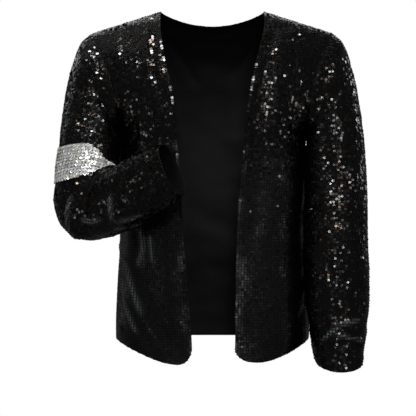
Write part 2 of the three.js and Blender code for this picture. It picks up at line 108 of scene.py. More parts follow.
def arc_length(points: Array) -> Array:
    """Return how far each point of a line, or of a grid's columns, lies along it."""
    steps = np.linalg.norm(np.diff(points, axis=0), axis=-1)
    return np.concatenate([np.zeros_like(steps[:1]), np.cumsum(steps, axis=0)])


def wrapped(grid: Array) -> Array:
    """Return a grid with its first column repeated at the end."""
    return np.concatenate([grid, grid[:, :1]], axis=1)


@dataclass(frozen=True)
class Table:
    """Cubic curves through the columns of a table, over its first column, which rises.

    Each slope is the one between the two neighbours. A value is the eased mix of the span's two
    ends plus each end's slope, weighted by the span's cubic.
    """

    columns: str
    rows: Sequence[Sequence[float]]

    def __call__(self, column: str, at: Array | float) -> Array:
        """Return the values of the named column's curve at places of the first column."""
        table = np.array(self.rows, dtype=float)
        knots, values = table[:, 0], table[:, self.columns.split().index(column)]
        at = np.asarray(at, dtype=float)
        last = len(knots) - 1
        before = np.maximum(np.arange(last + 1) - 1, 0)
        after = np.minimum(np.arange(last + 1) + 1, last)
        slope = (values[after] - values[before]) / (knots[after] - knots[before])
        k = np.searchsorted(knots[1:-1], at, side="left")
        length = knots[k + 1] - knots[k]
        t = clamp01((at - knots[k]) / length)
        start = t * (1 - t) ** 2 * length * slope[k]
        end = t * t * (1 - t) * length * slope[k + 1]
        return mix(values[k], values[k + 1], t * t * (3 - 2 * t)) + start - end


# The cut of the body


BODY_SECTIONS = Table(
    "z half_width middle front back",
    [
        (-650, 177, 12, 125, 106),
        (-575, 178, 13, 127, 105),
        (-500, 175, 15, 129, 96),
        (-430, 171, 15, 130, 91),
        (-330, 172, 14, 131, 96),
        (-262, 172, 10, 129, 106),
        (-232, 172, 6, 126, 112),
        (-222, 178, 6, 126, 113),
        (-203, 192, 6, 125, 114),
        (-171, 213, 6, 124, 114),
        (-137, 230, 6, 121, 112),
        (-90, 248, 6, 113, 106),
        (-42, 262, 6, 103, 97),
        (10, 274, 6, 92, 86),
    ],
)
FRONT_EDGES = Table(
    "z right left",
    [
        (-640, 36, 39),
        (-581, 38, 40),
        (-495, 45, 41),
        (-408, 52, 43),
        (-330, 57, 48),
        (-192, 67, 60),
        (-144, 74, 68),
        (-94, 86, 79),
        (-37, 94, 93),
        (0, 95, 95),
    ],
)
FRONT_HEM = Table(
    "out right left",
    [
        (0, -615, -614),
        (4, -626.5, -623),
        (12, -636.5, -630.5),
        (26, -641, -636),
        (58, -636, -636),
        (100, -620.5, -622.5),
        (142, -602.5, -602.5),
    ],
)


@dataclass(frozen=True)
class BodyForm:
    """The body of the jacket in level sections, with its shoulder line, armholes and edges.

    Lengths are in millimetres, in the frame of the solids.
    """

    neck_half_width: float = 95.0
    shoulder_half_width: float = 222.0
    shoulder_drop: float = 40.0
    back_neck_depth: float = 20.0
    front_rounding: float = 150.0
    back_rounding: float = 125.0
    front_bow: float = 15.0
    back_bow: float = 8.0
    armpit: tuple[float, float] = (172.0, -232.0)
    boxiness: float = 0.06
    side_hem: float = -602.5
    back_hem: float = -608.5
    armpit_row: float = -272.0
    sag_power: float = 6.0
    hem_reach: float = 142.0
    shoulder_cells: float = 14.0
    half_neck_cells: float = 4.0
    seam_rows: float = 12.0
    armhole_rows: float = 12.0
    crowding: float = 1.4
    halvings: int = 36

    @property
    def panel_rows(self) -> float:
        """Return the number of the row at the shoulder seam."""
        return self.seam_rows + self.armhole_rows

    def fullness(self, angle: Array) -> Array:
        """Return how full a section is: 1 for an ellipse, and a share of sin(2 angle) squared."""
        return 1 + self.boxiness * np.sin(2 * angle) ** 2

    def width_at(self, angle: Array, z: Array) -> Array:
        """Return the distance from the centre plane at an angle round a section."""
        return BODY_SECTIONS("half_width", z) * np.sin(angle) * self.fullness(angle)

    def angle_at(self, x: Array, z: Array) -> Array:
        """Return the angle at which the section is x wide, found by halving."""
        x, z = np.broadcast_arrays(np.abs(np.asarray(x, float)), np.asarray(z, float))
        low = np.zeros(x.shape)
        high = np.full(x.shape, RIGHT_ANGLE)
        for _ in range(self.halvings):
            middle = (low + high) / 2
            inside = self.width_at(middle, z) < x
            low = np.where(inside, middle, low)
            high = np.where(inside, high, middle)
        return (low + high) / 2

    def shoulder_height(self, x: Array) -> Array:
        """Return the height of the shoulder line, level over the neck and falling outside it."""
        span = self.shoulder_half_width - self.neck_half_width
        return -self.shoulder_drop * np.maximum(0, (np.abs(x) - self.neck_half_width) / span)

    def point(self, angle: Array, z: Array, face: Face) -> Array:
        """Return points of the body on the +X side.

        The section is a fuller ellipse. Near the shoulder line its depth shrinks as a quarter
        circle does: the root of one less the square of one less the share below the line.
        """
        x = self.width_at(angle, z)
        rounding = self.front_rounding if face is Face.FRONT else self.back_rounding
        below = clamp01((self.shoulder_height(x) - z) / rounding)
        turned = np.sqrt(1 - (1 - below) ** 2)
        depth = BODY_SECTIONS(face.name.lower(), z)
        reach = np.cos(angle) * self.fullness(angle) * depth * turned
        y = BODY_SECTIONS("middle", z) + face.value * reach
        return np.stack(np.broadcast_arrays(x, y, z), axis=-1)

    def armhole(self, turn: Array, face: Face) -> Pair:
        """Return the angle and height of the armhole, an oval bowed in at its middle.

        Args:
            turn: 0 at the shoulder point to pi at the armpit.
            face: the face of the body.
        """
        rise = (1 + np.cos(turn)) / 2
        depth = self.front_bow if face is Face.FRONT else self.back_bow
        bow = depth * np.sin(np.pi * rise)
        x = mix(self.armpit[0], self.shoulder_half_width, rise) - bow
        z = mix(self.armpit[1], -self.shoulder_drop, rise)
        angle = np.where(rise < 1e-9, RIGHT_ANGLE, self.angle_at(x, z))
        return angle, z

    def side(self, row: Array, face: Face) -> Pair:
        """Return the angle and height of the side seam and, above the armpit, the armhole."""
        up = clamp01(row / self.seam_rows)
        turn = np.pi * clamp01((self.panel_rows - row) / self.armhole_rows)
        angle, z = self.armhole(turn, face)
        low = row <= self.seam_rows
        seam_z = mix(self.side_hem, self.armpit[1], up)
        return np.where(low, RIGHT_ANGLE, angle), np.where(low, seam_z, z)

    def inner_height(self, row: Array, bottom: Array | float, top: Array | float) -> Array:
        """Return the height of a row at the inner edge, slowing as a sine above the armpit."""
        low = mix(bottom, self.armpit_row, row / self.seam_rows)
        up = clamp01((row - self.seam_rows) / self.armhole_rows)
        high = mix(self.armpit_row, top, np.sin(RIGHT_ANGLE * up))
        return np.where(row <= self.seam_rows, low, high)

    def on_shoulder(self, cell: Array) -> Pair:
        """Return the angle and height of a place on the shoulder seam."""
        share = np.maximum(0, cell / self.shoulder_cells) ** self.crowding
        x = mix(self.neck_half_width, self.shoulder_half_width, share)
        z = self.shoulder_height(x)
        return self.angle_at(x, z), z

    def panel(
        self, row: Array, share: Array, inner: Pair, hem: Array, top: Pair, top_inner: Pair,
        face: Face,
    ) -> Array:
        """Return points of a panel blended from its four outlines.

        Args:
            row: the row number, 0 at the hem.
            share: 0 at the inner edge to 1 at the side.
            inner: the angle and height of the inner edge at the row.
            hem: the height of the hem at the share.
            top: the angle and height of the upper outline at the share.
            top_inner: the same at the inner edge.
            face: the face of the body.

        Returns:
            The points. The armpit's row hangs below it, as a power of the share.
        """
        side_angle, side_z = self.side(row, face)
        sag = (self.armpit[1] - self.armpit_row) * (share**self.sag_power - share)
        angle = mix(inner[0], side_angle, share)
        z = mix(inner[1], side_z, share)
        level = mix(self.armpit_row, self.armpit[1], share) + sag
        low_z = mix(hem, level, clamp01(row / self.seam_rows))
        up = clamp01((row - self.seam_rows) / self.armhole_rows)
        tip_angle, tip_z = self.side(np.full(1, self.panel_rows), face)
        high_z = z + sag * (1 - up) ** 2
        high_z = high_z + (top[1] - mix(top_inner[1], tip_z, share)) * smooth(up)
        high_angle = angle + (top[0] - mix(top_inner[0], tip_angle, share)) * smooth(up)
        low = row <= self.seam_rows
        return self.point(np.where(low, angle, high_angle), np.where(low, low_z, high_z), face)

    def front(self, cell: Array, row: Array, side: Side) -> Array:
        """Return points of a front on the +X side, from its cell and row numbers."""
        name = side.name.lower()
        hem_z = float(FRONT_HEM(name, 0.0))
        start = float(FRONT_EDGES(name, hem_z))
        share = np.maximum(0, cell / self.shoulder_cells) ** self.crowding
        edge_z = self.inner_height(row, hem_z, 0.0)
        corner = self.angle_at(start, hem_z)
        hem_x = self.width_at(mix(corner, RIGHT_ANGLE, share), np.full_like(share, hem_z))
        reach = float(BODY_SECTIONS("half_width", hem_z)) - start
        edge = (self.angle_at(FRONT_EDGES(name, edge_z), edge_z), edge_z)
        low = FRONT_HEM(name, self.hem_reach * (hem_x - start) / reach)
        top, top_inner = self.on_shoulder(cell), self.on_shoulder(np.zeros(1))
        return self.panel(row, share, edge, low, top, top_inner, Face.FRONT)

    def back(self, cell: Array, row: Array) -> Array:
        """Return points of the back from its cell, negative on the right side, and its row."""
        side = np.where(cell < 0, -1.0, 1.0)
        cell = np.abs(cell)
        share = cell / (self.half_neck_cells + self.shoulder_cells)
        neck = np.minimum(1, cell / self.half_neck_cells)
        neck_z = -self.back_neck_depth * (1 - neck**2)
        neck_angle = self.angle_at(self.neck_half_width * neck, neck_z)
        seam_angle, seam_z = self.on_shoulder(cell - self.half_neck_cells)
        middle_z = self.inner_height(row, self.back_hem, -self.back_neck_depth)
        middle = (np.zeros_like(middle_z), middle_z)
        low = mix(self.side_hem, self.back_hem, np.cos(RIGHT_ANGLE * share))
        top = (np.where(neck < 1, neck_angle, seam_angle), np.where(neck < 1, neck_z, seam_z))
        top_middle = (np.zeros(1), np.full(1, -self.back_neck_depth))
        points = self.panel(row, share, middle, low, top, top_middle, Face.BACK)
        points[..., 0] *= side
        return points


LEFT_RINGS = [
    (222, -40, 172, -232, 6, 79, 0),
    (240, -57.5, 175, -239, 5, 76, 0),
    (250, -82, 175.5, -246, 2, 72, 0),
    (259, -115, 175, -253, -3, 68, 0),
    (266, -152, 173.5, -258, -9, 65, 0),
    (272, -195, 172, -273, -17, 61.5, 0),
    (276.5, -240, 170, -298, -26, 58.5, 0),
    (279, -300, 168.5, -332, -36, 56, 0),
    (280, -355, 167, -372, -42, 55, 0),
    (281, -420, 166, -424, -46, 54, 0),
    (282.5, -480, 166, -478, -50, 53, 1),
    (281.5, -536, 168.5, -532, -54, 51, 4),
    (277.5, -577, 175.5, -569, -56, 48.5, 10),
    (274.5, -607, 179, -602, -58, 47, 17),
    (270.5, -635, 184.5, -633, -60, 46, 24),
]
RIGHT_RINGS = [
    (222, -40, 172, -232, 6, 79, 0),
    (242, -57.5, 175.5, -239, 4, 76, 0),
    (253.5, -85, 176, -246, -1, 72, 0),
    (262.5, -121, 175.5, -252, -10, 68, 0),
    (269, -160, 173, -258, -22, 65, 0),
    (274, -205, 171, -265, -33, 61, 0),
    (278, -250, 170, -273, -46, 58, 0),
    (280, -292, 169.5, -280, -57, 55, 0),
    (280, -330, 169.5, -285, -67, 54, 0),
    (279.5, -364, 169.5, -288.5, -76, 53, 0),
    (265, -397, 169, -291, -86, 52, 0),
    (236, -417, 168, -292, -99, 50, 0),
    (197, -413.5, 166, -291.5, -115, 48, 0),
    (163, -405, 161, -288.5, -131, 46, 0),
    (136, -394, 152, -283, -145, 44, 0),
    (110, -380, 138, -275, -156, 42.5, 0),
    (88, -367, 120, -266, -165, 41, 0),
    (69, -354, 103, -259, -172, 40, 0),
    (53, -339, 88, -254, -178, 39, 0),
]


@dataclass(frozen=True)
class SleeveForm:
    """A sleeve on the +X side: rings from the armhole to the cuff.

    Attributes:
        body: the body, whose armhole the sleeve starts from.
        rings: the outer and inner point, depth, half thickness and dip of each ring.
        head_reach: rings over which the armhole's own shape fades out.
        lean_start: rings over which the sections take up the sleeve's lean to the front.
    """

    body: BodyForm
    rings: Sequence[Sequence[float]]
    head_reach: float = 3.5
    lean_start: float = 7.0

    @property
    def last(self) -> float:
        """Return the number of the ring at the cuff."""
        return len(self.rings) - 1.0

    def oval(self, turn: Array, ring: Array) -> Array:
        """Return points of the plain ring ovals.

        A point is the ring's centre plus half the way across it times the cosine of the turn,
        plus the direction square to that and to the sleeve's run times the sine.
        """
        columns = "number outer_x outer_z inner_x inner_z y half dip"
        c = Table(columns, [(number, *row) for number, row in enumerate(self.rings)])
        turn, ring = np.broadcast_arrays(np.asarray(turn, float), np.asarray(ring, float))

        def centre(at: Array) -> Array:
            """Return the ring centres."""
            x = (c("outer_x", at) + c("inner_x", at)) / 2
            z = (c("outer_z", at) + c("inner_z", at)) / 2
            return np.stack([x, c("y", at), z], axis=-1)

        along = centre(np.minimum(self.last, ring + 0.5)) - centre(np.maximum(0, ring - 0.5))
        along[..., 1] *= smooth(ring / self.lean_start)
        across_x = (c("outer_x", ring) - c("inner_x", ring)) / 2
        across_z = (c("outer_z", ring) - c("inner_z", ring)) / 2
        across = np.stack([across_x, np.zeros_like(across_x), across_z], axis=-1)
        forward = np.cross(along, across)
        forward *= (c("half", ring) / np.linalg.norm(forward, axis=-1))[..., None]
        full = self.body.fullness(turn)
        points = centre(ring) + across * (np.cos(turn) * full)[..., None]
        points += forward * (np.sin(turn) * full)[..., None]
        points[..., 2] -= c("dip", ring) * np.sin(turn)
        return points

    def point(self, turn: Array, ring: Array) -> Array:
        """Return points of the sleeve: the ovals, plus the armhole's own shape near its head."""
        turn, ring = np.broadcast_arrays(np.asarray(turn, float), np.asarray(ring, float))
        around = np.mod(turn, 2 * np.pi)
        is_front = around <= np.pi
        down = np.where(is_front, around, 2 * np.pi - around)
        edges = [self.body.point(*self.body.armhole(down, face), face) for face in Face]
        edge = np.where(is_front[..., None], edges[0], edges[1])
        own = edge - self.oval(turn, np.zeros_like(ring))
        fade = (1 - clamp01(ring / self.head_reach)) ** 2
        return self.oval(turn, ring) + own * fade[..., None]


# Cloth surfaces


@dataclass
class Cloth:
    """A grid of points on a cloth surface, with the outward direction at each.

    Attributes:
        points: rows by columns by three, in millimetres.
        normals: the outward directions.
        creases: how much each point lies on a sharp crease, from 0 to 1.
        closed: whether the last column meets the first.
    """

    points: Array
    normals: Array
    creases: Array
    closed: bool

    @staticmethod
    def directions(points: Array, closed: bool, side: Side) -> Array:
        """Return the outward directions: the cross product of the grid's two runs."""
        if closed:
            round_run = np.roll(points, -1, axis=1) - np.roll(points, 1, axis=1)
        else:
            round_run = np.gradient(points, axis=1)
        normals = np.cross(round_run, np.gradient(points, axis=0)) * side.value
        return normals / np.linalg.norm(normals, axis=-1, keepdims=True)

    def row_at(self, height: float) -> Array:
        """Return, for each column, the fractional grid row that lies at a height."""
        z = self.points[..., 2]
        return np.array([np.interp(height, column, np.arange(len(z))) for column in z.T])

    def area(self) -> float:
        """Return the area in square metres, all round on a tube."""
        p = wrapped(self.points) if self.closed else self.points
        a, b = p[1:, :-1] - p[:-1, :-1], p[:-1, 1:] - p[:-1, :-1]
        c, d = p[1:, :-1] - p[1:, 1:], p[:-1, 1:] - p[1:, 1:]
        halves = np.linalg.norm(np.cross(a, b), axis=-1) + np.linalg.norm(np.cross(c, d), axis=-1)
        return float(halves.sum() / 2 * MM * MM)


def mesh_object(name: str, vertices: Array, faces: Array, shade_smooth: bool) -> bpy.types.Object:
    """Return a new object from arrays, linked to the scene.

    Args:
        name: the piece's name.
        vertices: the vertices in millimetres.
        faces: one row of vertex numbers for each face, all with as many corners.
        shade_smooth: whether the faces are shaded smooth.
    """
    mesh = bpy.data.meshes.new(name)
    corners = faces.shape[1]
    mesh.vertices.add(len(vertices))
    mesh.vertices.foreach_set("co", (vertices * MM).astype(np.float32).ravel())
    mesh.loops.add(faces.size)
    mesh.loops.foreach_set("vertex_index", faces.astype(np.int32).ravel())
    mesh.polygons.add(len(faces))
    mesh.polygons.foreach_set("loop_start", np.arange(0, faces.size, corners, dtype=np.int32))
    mesh.polygons.foreach_set("use_smooth", np.full(len(faces), shade_smooth))
    mesh.update(calc_edges=True)
    mesh.validate()
    piece = bpy.data.objects.new(name, mesh)
    bpy.context.scene.collection.objects.link(piece)
    return piece


def grid_quads(number: Array) -> Array:
    """Return the quads of a grid of vertex numbers, one row of four for each."""
    corners = [number[:-1, :-1], number[:-1, 1:], number[1:, 1:], number[1:, :-1]]
    return np.stack(corners, axis=-1).reshape(-1, 4)


def shell(name: str, cloth: Cloth, thickness: float, side: Side) -> bpy.types.Object:
    """Return a closed thin wall on a cloth surface.

    The outer layer is the points plus half the thickness along their directions, the inner one
    the points less it, and strips join the two along every open edge. The faces are turned over
    on the right side, where the grid is mirrored.
    """
    rows, columns = cloth.points.shape[:2]
    offset = cloth.normals * (thickness / 2)
    layers = [(cloth.points + offset).reshape(-1, 3), (cloth.points - offset).reshape(-1, 3)]
    number = np.arange(rows * columns).reshape(rows, columns)
    if cloth.closed:
        number = wrapped(number)
    inner = number + rows * columns
    quads = [grid_quads(number), grid_quads(inner)[:, [0, 3, 2, 1]]]
    strips = [
        [number[0, :-1], inner[0, :-1], inner[0, 1:], number[0, 1:]],
        [number[-1, :-1], number[-1, 1:], inner[-1, 1:], inner[-1, :-1]],
    ]
    if not cloth.closed:
        strips.append([number[:-1, 0], number[1:, 0], inner[1:, 0], inner[:-1, 0]])
        strips.append([number[:-1, -1], inner[:-1, -1], inner[1:, -1], number[1:, -1]])
    quads += [np.stack(strip, axis=-1) for strip in strips]
    faces = np.concatenate(quads)
    if side is Side.RIGHT:
        faces = faces[:, ::-1]
    return mesh_object(name, np.concatenate(layers), faces, True)


# Folds


@dataclass(frozen=True)
class Fold:
    """A ridge, or a trough where its height is negative, along a line across a piece.

    Attributes:
        start: the line's start, as shares of the piece's columns and rows.
        end: the line's end.
        height: how far it lifts the cloth, in millimetres.
        width: the distance over which it falls away.
        sharp: 2 for a soft roll, less for a creased one.
    """

    start: tuple[float, float]
    end: tuple[float, float]
    height: float
    width: float
    sharp: float = 2.0


def folds(*rows: Sequence[float]) -> tuple[Fold, ...]:
    """Return folds from rows of start u, v, end u, v, height, width and, if given, sharpness."""
    return tuple(Fold((r[0], r[1]), (r[2], r[3]), *r[4:]) for r in rows)


@dataclass(frozen=True)
class Relief:
    """The folds of a piece of cloth, with small uneven puckers between them.

    Attributes:
        folds: the folds.
        seed: what picks the puckers.
        slope: their usual slope.
        size: the piece's width and length in millimetres.
        closed: whether the columns run round.
        waves: how many waves make the puckers.
        shortest: the shortest of them in millimetres.
        longest: the longest.
        ease: the share of its length over which a fold's end eases off.
        creased: the sharpness below which a ridge is a crease.
        crease_width: the crease's width as a share of its ridge's.
        crease_gain: what its bell is multiplied by.
    """

    folds: tuple[Fold, ...]
    seed: int
    slope: float
    size: Size
    closed: bool = False
    waves: int = 30
    shortest: float = 24.0
    longest: float = 90.0
    ease: float = 0.25
    creased: float = 1.35
    crease_width: float = 0.5
    crease_gain: float = 1.2

    def _bells(self, lines: Sequence[Fold], u: Array, v: Array) -> Array:
        """Return the sum of folds at the shares u and v of the columns and rows.

        Each fold falls away as a bell of the distance to its line, and eases off at its ends.
        """
        width, length = self.size
        total = np.zeros(np.broadcast(u, v).shape)
        for line in lines:
            for shift in (-1, 0, 1) if self.closed else (0,):
                ax = (u + shift - line.start[0]) * width
                ay = (v - line.start[1]) * length
                bx = (line.end[0] - line.start[0]) * width
                by = (line.end[1] - line.start[1]) * length
                along = clamp01((ax * bx + ay * by) / (bx * bx + by * by))
                distance = np.hypot(ax - along * bx, ay - along * by)
                ends = smooth(np.minimum(along, 1 - along) / self.ease + self.ease)
                bell = np.exp(-((distance / line.width) ** line.sharp))
                total = total + line.height * ends * bell
        return total

    def _puckers(self, u: Array, v: Array) -> Array:
        """Return the puckers' lift: a sum of waves in many directions.

        Each wave has a whole number of crests over the columns, so that it closes on a tube. Its
        height is its share of the slope times its length over two pi.
        """
        size = self.size
        rng = np.random.default_rng(self.seed)
        total = np.zeros(np.broadcast(u, v).shape)
        for _ in range(self.waves):
            length = rng.uniform(self.shortest, self.longest)
            heading = rng.uniform(0, np.pi)
            across = round(np.cos(heading) * size[0] / length)
            along = np.sin(heading) * size[1] / length
            real = 1 / np.hypot(across / size[0], along / size[1])
            height = self.slope * np.sqrt(2 / self.waves) * real / (2 * np.pi)
            phase = rng.uniform(0, 2 * np.pi)
            total = total + height * np.sin(2 * np.pi * (across * u + along * v) + phase)
        return total

    def lift(self, u: Array, v: Array) -> Array:
        """Return how far the cloth is lifted at places, in millimetres."""
        return self._bells(self.folds, u, v) + self._puckers(u, v)

    def creases(self, u: Array, v: Array) -> Array:
        """Return how much each place lies on top of a creased ridge, from 0 to 1."""
        ridges = [line for line in self.folds if line.height > 0 and line.sharp < self.creased]
        narrow = [replace(r, height=1.0, width=r.width * self.crease_width) for r in ridges]
        return clamp01(self._bells(narrow, u, v) * self.crease_gain)

    def raised(self, points: Array, u: Array, v: Array, free: Array, side: Side) -> Cloth:
        """Return the cloth on bare points of the left side, mirrored if it is the right one's.

        Args:
            points: the bare points.
            u: their shares of the columns.
            v: their shares of the rows.
            free: how far the cloth is free of its seams there, from 0 to 1.
            side: the side that the piece is on.
        """
        points[..., 0] *= side.value
        lift = self.lift(u, v) * free
        bare = Cloth.directions(points, self.closed, side)
        raised = points + bare * lift[..., None]
        normals = Cloth.directions(raised, self.closed, side)
        return Cloth(raised, normals, self.creases(u, v), self.closed)


# Sequins


@dataclass(frozen=True)
class SequinLayout:
    """How sequins are sewn on: in level rows, side by side.

    Attributes:
        pitch: the distance along a row.
        row_pitch: the distance between rows.
        margin: the bare width at an edge.
    """

    pitch: float
    row_pitch: float
    margin: float = 2.0

    def rows_of(self, cloth: Cloth, level: Array) -> Array:
        """Return the places of the sequins on a cloth surface.

        The distance of a grid point above the level line is its arc length along its column.
        For each sequin row, every column gives the point at the row's distance, and the sequins
        lie at equal arc lengths along the line through these points. A row that is within half
        a row of an edge runs along the edge.

        Args:
            cloth: the surface.
            level: for each column, the fractional grid row of the level line.

        Returns:
            A row for each sequin: its centre, outward direction, row's direction and crease.
        """
        fields = np.concatenate([cloth.points, cloth.normals, cloth.creases[..., None]], axis=-1)
        if cloth.closed:
            fields = wrapped(fields)
            level = np.append(level, level[0])
        rows, columns = fields.shape[:2]
        length = arc_length(fields[..., :3])
        grid_rows = np.arange(rows)
        zero = np.array([np.interp(level[c], grid_rows, length[:, c]) for c in range(columns)])
        first = int(np.floor(-zero.max() / self.row_pitch))
        final = int(np.ceil((length[-1] - zero).max() / self.row_pitch))
        numbers = np.arange(first, final + 1) * self.row_pitch
        target = numbers[:, None] + zero[None, :]
        end = length[-1][None, :] - self.margin
        reach = self.row_pitch / 2
        valid = (target >= self.margin - reach) & (target <= end + reach)
        target = np.clip(target, self.margin, end)
        at = np.stack(
            [np.interp(target[:, c], length[:, c], grid_rows) for c in range(columns)], axis=1
        )
        low = np.minimum(at.astype(int), rows - 2)
        part = (at - low)[..., None]
        pick = np.arange(columns)[None, :]
        lines = mix(fields[low, pick], fields[low + 1, pick], part)
        found: list[Array] = []
        for line, good in zip(lines, valid):
            edges = np.flatnonzero(np.diff(np.concatenate([[0], good.astype(int), [0]])))
            for start, stop in zip(edges[::2], edges[1::2]):
                if stop - start > 1:
                    found.append(self._one_row(line[start:stop]))
        return np.concatenate(found)

    def _one_row(self, line: Array) -> Array:
        """Return the places along one line of points, at equal arc lengths and at its end."""
        length = arc_length(line[:, :3])
        stop = length[-1] - self.margin
        at = np.arange(self.margin, stop, self.pitch)
        if len(at) and stop - at[-1] > self.pitch / 2:
            at = np.append(at, stop)
        here, ahead, behind = (
            np.stack([np.interp(at + shift, length, column) for column in line.T], axis=-1)
            for shift in (0, 1, -1)
        )
        return np.concatenate([here[:, :6], (ahead - behind)[:, :3], here[:, 6:]], axis=1)


@dataclass(frozen=True)
class SequinShape:
    """One sequin: a cupped disc of eight facets, or a ring of them with a hole.

    Attributes:
        radius: the outer radius in millimetres.
        cup: how far the middle lies below the rim.
        thickness: the thickness at the middle.
        hole: the radius of the hole, 0 for none.
        rise: how far the rim lies above the cloth's middle surface.
        lean: how far the lower edge of every sequin stands out, in degrees.
        scatter: the usual random tilt in degrees.
        loose: the share of sequins that hang loosely.
        loose_scatter: their random tilt in degrees.
        calm: the height in millimetres below which few hang loosely or keep their full polish.
        polished: the share that keeps it there.
        calm_reach: the height over which they grow so few.
        calm_loose: the share of the loose ones that stays loose there.
        calm_scatter: the share of the scatter that stays there.
        sides: how many corners it has.
    """

    radius: float
    cup: float
    thickness: float
    hole: float
    rise: float
    lean: float
    scatter: float
    loose: float
    loose_scatter: float
    calm: float = -2000.0
    polished: float = 0.03
    calm_reach: float = 120.0
    calm_loose: float = 0.15
    calm_scatter: float = 0.4
    sides: int = 8

    def template(self) -> Pair:
        """Return one sequin's vertices, in its own directions, and its triangles or quads."""
        s = self.sides
        turn = np.arange(s) * 2 * np.pi / s
        ring = np.stack([np.cos(turn), np.sin(turn), np.zeros(s)], axis=-1)
        upper = np.array([[0, 0, -self.cup]])
        lower = upper - np.array([[0, 0, self.thickness]])
        k = np.arange(s)
        n = (k + 1) % s
        if self.hole > 0:
            points = [ring * self.radius, ring * self.hole + upper, ring * self.hole + lower]
            faces = [[k, n, n + s, k + s], [k + s, n + s, n + 2 * s, k + 2 * s]]
            faces.append([k + 2 * s, n + 2 * s, n, k])
        else:
            points = [ring * self.radius, upper, lower]
            faces = [[k, n, np.full(s, s)], [n, k, np.full(s, s + 1)]]
        return np.concatenate(points), np.concatenate([np.stack(f, axis=-1) for f in faces])

    def sewn(self, name: str, places: Array, seed: int) -> bpy.types.Object:
        """Return the sequins of a piece as one mesh, each with its own tone, crease and polish.

        Each sequin's outward direction is the cloth's plus its lean down the row and two random
        tilts. Its vertices are its centre plus the template along its three directions.

        Args:
            name: the name of the mesh.
            places: the rows of places from a layout.
            seed: what picks the tones, tilts and turns.
        """
        rng = np.random.default_rng(seed)
        count = len(places)
        centres, outward, along, crease = np.split(places, (3, 6, 9), axis=1)
        out = unit(outward)
        along = square_to(along, out)
        up = np.cross(out, along)
        up *= np.where(up[:, 2:3] < 0, -1.0, 1.0)
        lively = smooth((centres[:, 2] - self.calm) / self.calm_reach + 0.5)
        loose = rng.random(count) < self.loose * mix(self.calm_loose, 1.0, lively)
        dull = rng.random(count) > np.maximum(lively, self.polished)
        steady = self.scatter * mix(self.calm_scatter, 1.0, lively)
        spread = np.radians(np.where(loose, self.loose_scatter, steady))
        tilt = rng.normal(0, 1, (count, 2)) * spread[:, None]
        facing = unit(out + up * (np.radians(self.lean) + tilt[:, :1]) + along * tilt[:, 1:])
        first = square_to(along, facing)
        second = np.cross(facing, first)
        spin = rng.random(count)[:, None] * np.pi / self.sides
        a = first * np.cos(spin) + second * np.sin(spin)
        axes = np.stack([a, np.cross(facing, a), facing], axis=1)
        shape, faces = self.template()
        vertices = (centres + out * self.rise)[:, None, :] + shape @ axes
        each = len(shape)
        numbers = faces[None, :, :] + (np.arange(count) * each)[:, None, None]
        faces = numbers.reshape(-1, faces.shape[1])
        piece = mesh_object(name, vertices.reshape(-1, 3), faces, False)
        # The crease value also gives a sequin on a crease ridge a painted sheen colour in its
        # material.
        kinds = (("tone", rng.random(count)), ("crease", crease), ("dull", dull))
        for title, values in kinds:
            attribute = piece.data.attributes.new(title, "FLOAT", "POINT")
            attribute.data.foreach_set("value", np.repeat(values, each).astype(np.float32))
        return piece


# The height in millimetres at which a row of sequins runs level round the body
BODY_LEVEL = -330.0
# What picks the first piece's sequins; each further piece takes the next number
FIRST_SEED = 11
BLACK_LAYOUT = SequinLayout(pitch=5.0, row_pitch=4.8)
BLACK_SEQUIN = SequinShape(
    radius=2.5, cup=0.03, thickness=0.2, hole=0, rise=1.15, lean=4.0, scatter=7.5,
    loose=0.06, loose_scatter=17.0,
)
CALM_BLACK_SEQUIN = replace(BLACK_SEQUIN, scatter=6.0, calm=-270.0)
SILVER_LAYOUT = SequinLayout(pitch=6.3, row_pitch=6.5, margin=1.2)
SILVER_SEQUIN = SequinShape(
    radius=3.3, cup=0.2, thickness=0.25, hole=0.95, rise=1.0, lean=5.0, scatter=6.0,
    loose=0.06, loose_scatter=12.0,
)


# Shaders


class Shade:
    """A socket, or a number, on which Python's operators add Math nodes."""

    def __init__(self, book: "Book", value: Any) -> None:
        """Keep the material's node book and the socket or number."""
        self.book = book
        self.value = value

    def _math(self, operation: str, first: Any, second: Any) -> "Shade":
        """Return the result of a Math node."""
        return self.book.add("ShaderNodeMath", {"operation": operation}, {0: first, 1: second})

    def __add__(self, other: Any) -> "Shade":
        """Return the sum."""
        return self._math("ADD", self, other)

    __radd__ = __add__

    def __sub__(self, other: Any) -> "Shade":
        """Return the difference."""
        return self._math("SUBTRACT", self, other)

    def __rsub__(self, other: Any) -> "Shade":
        """Return the other less this."""
        return self._math("SUBTRACT", other, self)

    def __mul__(self, other: Any) -> "Shade":
        """Return the product."""
        return self._math("MULTIPLY", self, other)

    __rmul__ = __mul__

    def above(self, limit: float) -> "Shade":
        """Return 1 where this is above the limit."""
        return self._math("GREATER_THAN", self, limit)


